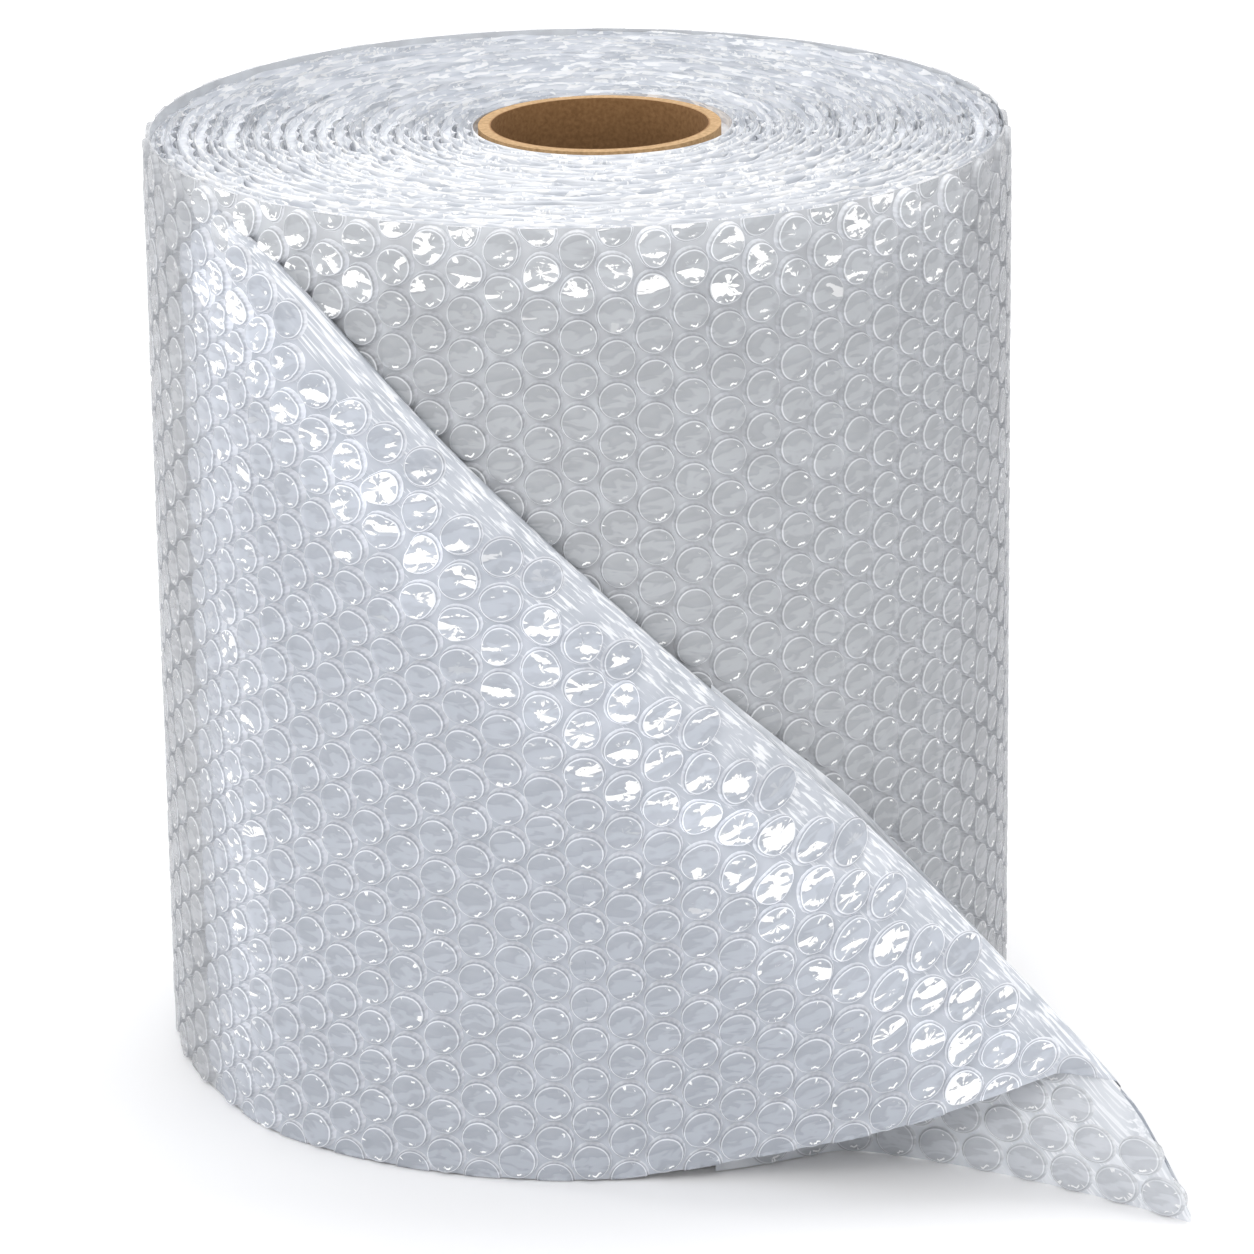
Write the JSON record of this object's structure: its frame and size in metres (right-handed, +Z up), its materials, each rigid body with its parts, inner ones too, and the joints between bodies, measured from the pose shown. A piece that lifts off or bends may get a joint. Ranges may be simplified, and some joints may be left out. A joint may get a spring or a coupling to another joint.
{
  "type": "bubble wrap roll",
  "caption": "Upright roll of clear air-bubble cushioning film on a cardboard core, with its loose outer end folded back diagonally into a soft cone that rests on the floor.",
  "frame": {"origin": "centre of the core's bore in the plane that the roll stands on", "axes": "+Z up along the core's axis; -Y towards the front, where the folded free end lies; +X to the right, towards its tip"},
  "size_m": [0.354, 0.3488, 0.335],
  "materials": {
    "film": "clear glossy polyethylene film",
    "core_card": "plain spiral-wound grey-brown card"
  },
  "bodies": {
    "root": {"bubble_wrap": "film", "core_tube": "core_card"}
  },
  "joints": []
}
